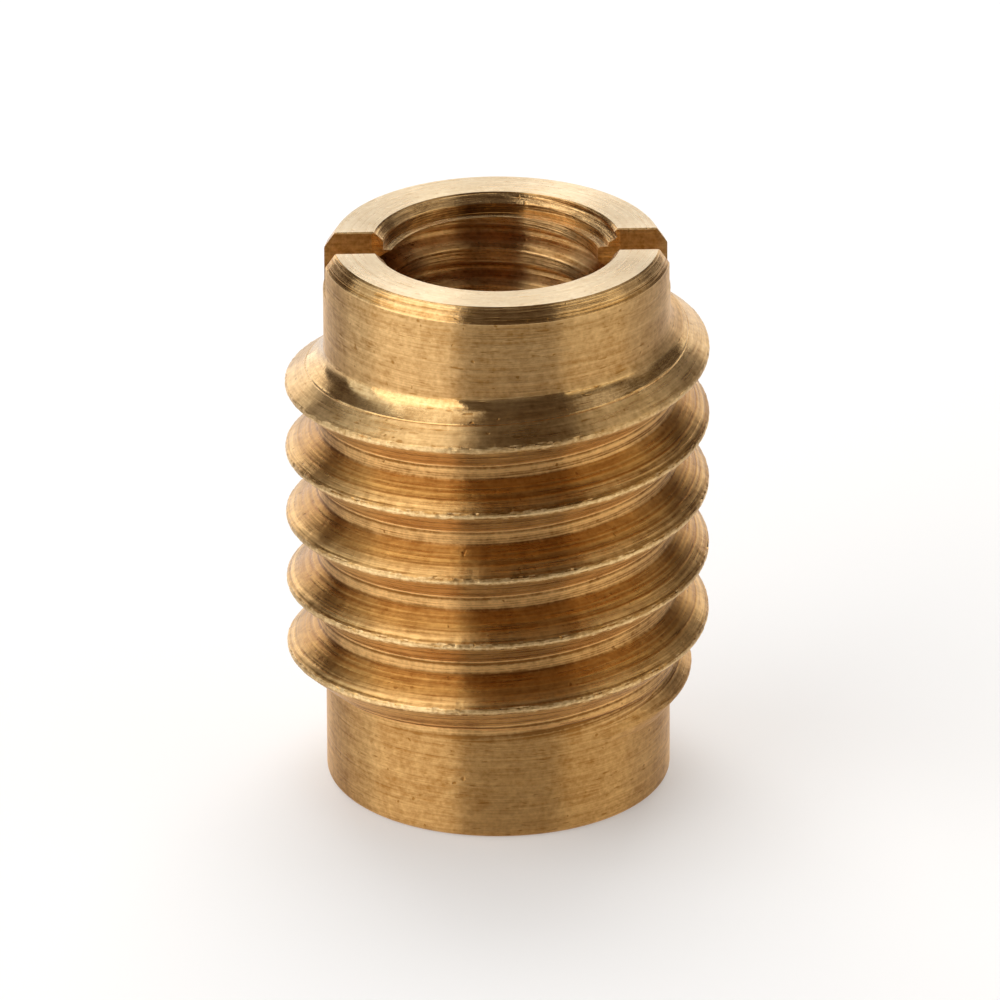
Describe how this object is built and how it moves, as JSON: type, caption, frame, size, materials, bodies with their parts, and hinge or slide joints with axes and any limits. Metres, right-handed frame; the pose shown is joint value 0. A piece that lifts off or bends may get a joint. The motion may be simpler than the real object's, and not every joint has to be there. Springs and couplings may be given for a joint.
{
  "type": "threaded insert",
  "caption": "Brass screw-in insert with a coarse right-hand outer thread, a threaded bore and a driver slot, which gives wood or plastic a lasting seat for a machine screw.",
  "frame": {"origin": "on the axis, at the flat face of the plain pilot end, which the insert stands on", "axes": "+Z runs along the axis from the pilot end to the slotted end, and the driver slot runs along X"},
  "size_m": [0.0102, 0.0102, 0.014],
  "materials": {
    "turned_brass": "as turned, with fine tool marks round the axis"
  },
  "bodies": {
    "root": {"insert_body": "turned_brass"}
  },
  "joints": []
}
